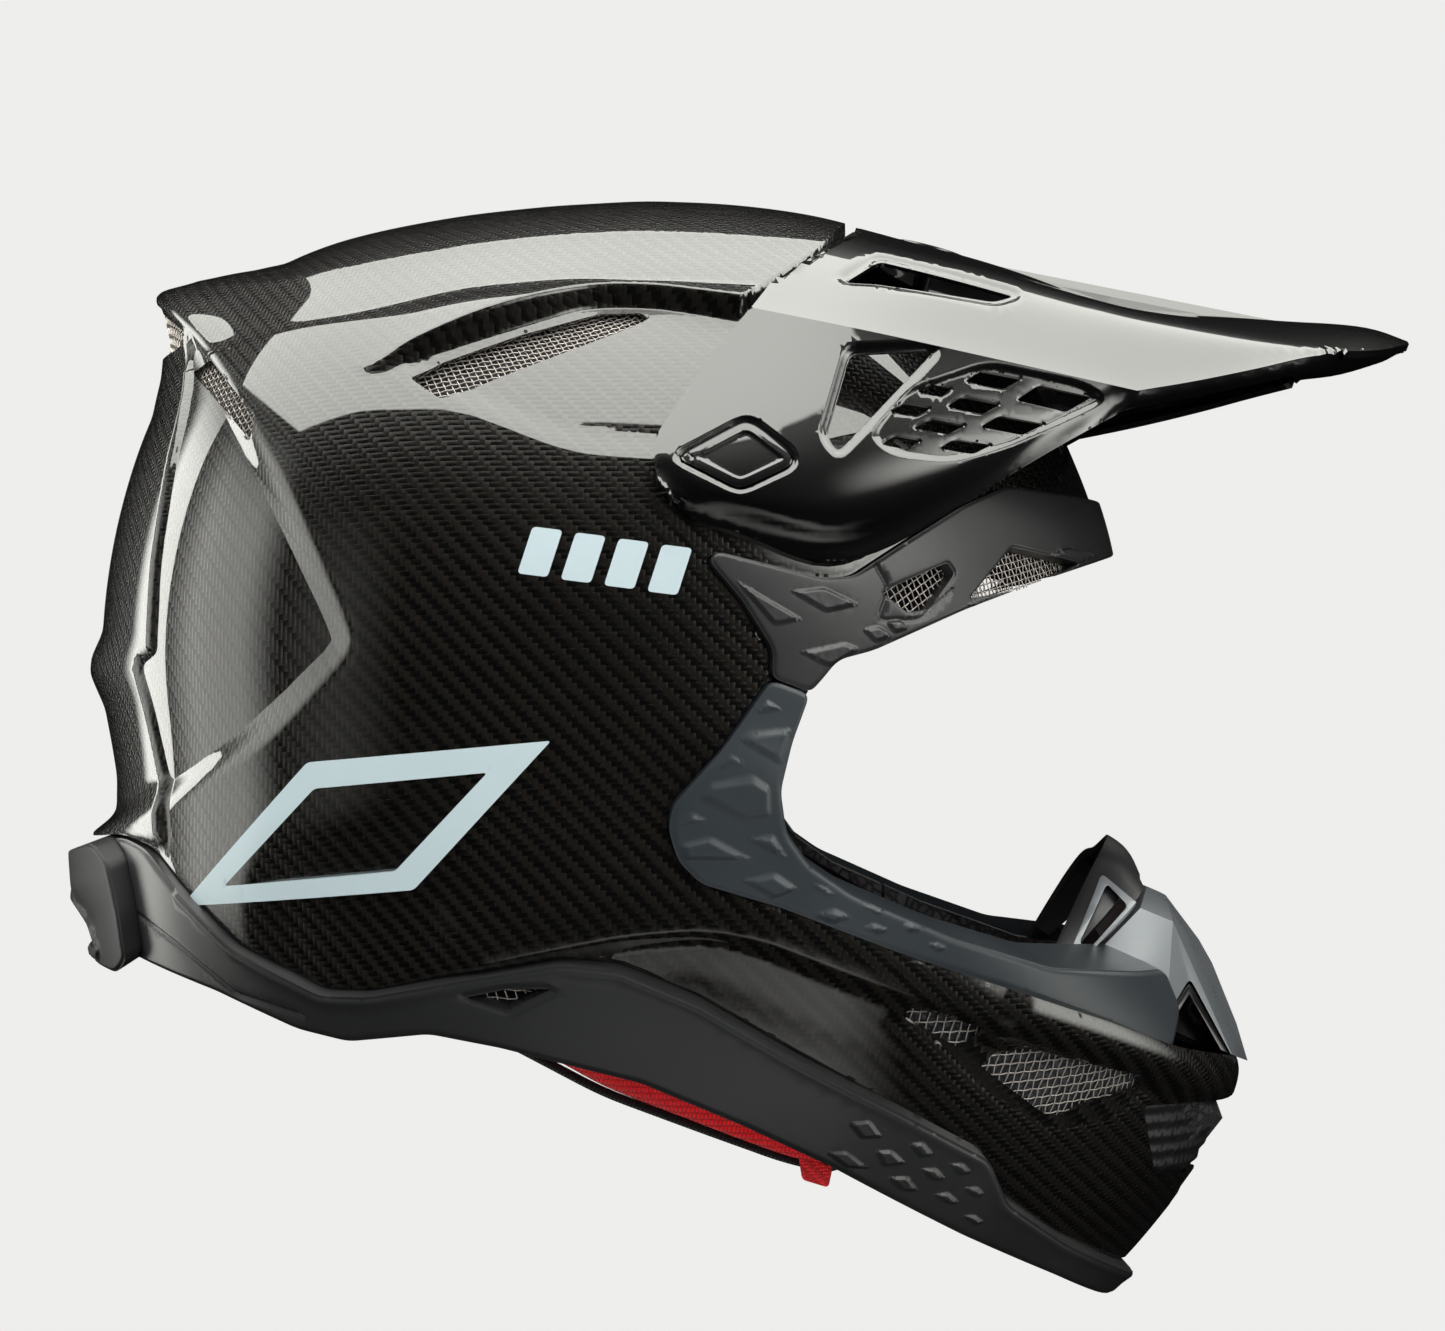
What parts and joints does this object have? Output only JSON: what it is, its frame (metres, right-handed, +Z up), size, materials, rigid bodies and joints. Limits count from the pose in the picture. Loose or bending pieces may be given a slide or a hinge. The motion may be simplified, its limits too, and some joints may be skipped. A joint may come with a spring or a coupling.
{
  "type": "motocross helmet",
  "caption": "Full-face off-road helmet with a carbon shell, open eye port, long chin bar, adjustable peak, vented trims, foam liners, removable cheek pads and chin strap.",
  "frame": {"origin": "centre of the head form, in the mid-plane and level with the ears", "axes": "+X the way the wearer looks, +Y the wearer's left, +Z up, with the head upright"},
  "size_m": [0.3831, 0.2526, 0.3132],
  "materials": {
    "gloss_carbon": "2x2 twill carbon fibre laminate under a deep gloss clear coat",
    "gloss_black": "high gloss black",
    "satin_grey_rubber": "satin dark blue-grey moulded rubber",
    "black_rubber": "satin black moulded rubber",
    "matte_black_plastic": "fine-grained satin black",
    "satin_grey_plastic": "satin metallic dark grey",
    "steel_mesh": "plain-woven wire",
    "steel": "plated",
    "eps_foam": "expanded polystyrene beads, dyed dark",
    "black_fabric": "perforated knit over foam",
    "red_fabric": "ribbed knit over foam",
    "red_webbing": "woven tape",
    "black_webbing": "woven polyester webbing"
  },
  "bodies": {
    "helmet": {"carbon_shell": "gloss_carbon", "chin_front_grille": "matte_black_plastic", "chin_vent_body": "satin_grey_plastic", "nose_guard": "black_rubber", "brow_trim": "black_rubber", "eye_port_gasket": "satin_grey_rubber", "base_trim": "black_rubber", "rear_exhaust_spoiler": "matte_black_plastic", "eps_crown_liner": "eps_foam", "eps_rear_liner": "eps_foam", "eps_chin_liner": "eps_foam", "comfort_liner": "black_fabric", "neck_roll": "black_fabric", "top_vent_mesh_right": "steel_mesh", "top_vent_mesh_left": "steel_mesh", "rear_upper_vent_mesh_right": "steel_mesh", "rear_upper_vent_mesh_left": "steel_mesh", "rear_lower_vent_mesh_right": "steel_mesh", "rear_lower_vent_mesh_left": "steel_mesh", "chin_rear_vent_mesh_right": "steel_mesh", "chin_rear_vent_mesh_left": "steel_mesh", "chin_front_vent_mesh_right": "steel_mesh", "chin_front_vent_mesh_left": "steel_mesh", "brow_vent_mesh_rear_right": "steel_mesh", "brow_vent_mesh_rear_left": "steel_mesh", "brow_vent_mesh_front_right": "steel_mesh", "brow_vent_mesh_front_left": "steel_mesh", "base_vent_mesh_right": "steel_mesh", "base_vent_mesh_left": "steel_mesh", "chin_intake_right": "gloss_black", "chin_intake_left": "gloss_black", "strap_anchor_right": "steel", "strap_anchor_left": "steel", "eps_side_liner_right": "eps_foam", "eps_side_liner_left": "eps_foam", "peak_pivot_stud_right": "steel", "peak_pivot_stud_left": "steel"},
    "peak": {"peak": "gloss_black", "peak_pivot_cap_right": "gloss_black", "peak_pivot_cap_left": "gloss_black", "peak_screw_nut": "steel"},
    "peak_screw": {"peak_screw": "matte_black_plastic"},
    "chin_strap": {"chin_strap_short": "black_webbing", "chin_strap_long": "black_webbing", "d_ring_front": "steel", "d_ring_rear": "steel"},
    "cheek_pad_right": {"cheek_pad_right": "red_fabric", "cheek_pad_backing_right": "matte_black_plastic", "release_tab_right": "red_webbing"},
    "cheek_pad_left": {"cheek_pad_left": "red_fabric", "cheek_pad_backing_left": "matte_black_plastic", "release_tab_left": "red_webbing"}
  },
  "joints": [
    {"name": "peak_tilt", "type": "hinge", "parent": "helmet", "child": "peak", "pos_m": [0.0415, 0, 0.056], "axis": [0, 1, 0], "range_deg": [0, 3.5]},
    {"name": "peak_screw_turn", "type": "hinge", "parent": "peak", "child": "peak_screw", "pos_m": [0.096, 0, 0.1209], "axis": [0.2588, 0, 0.9659], "continuous": true},
    {"name": "chin_strap_swing", "type": "hinge", "parent": "helmet", "child": "chin_strap", "pos_m": [-0.02, 0, -0.04], "axis": [0, 1, 0], "range_deg": [-8, 8]},
    {"name": "cheek_pad_right_release", "type": "slide", "parent": "helmet", "child": "cheek_pad_right", "axis": [0, 0, -1], "range_m": [0, 0.06]},
    {"name": "cheek_pad_left_release", "type": "slide", "parent": "helmet", "child": "cheek_pad_left", "axis": [0, 0, -1], "range_m": [0, 0.06]}
  ]
}
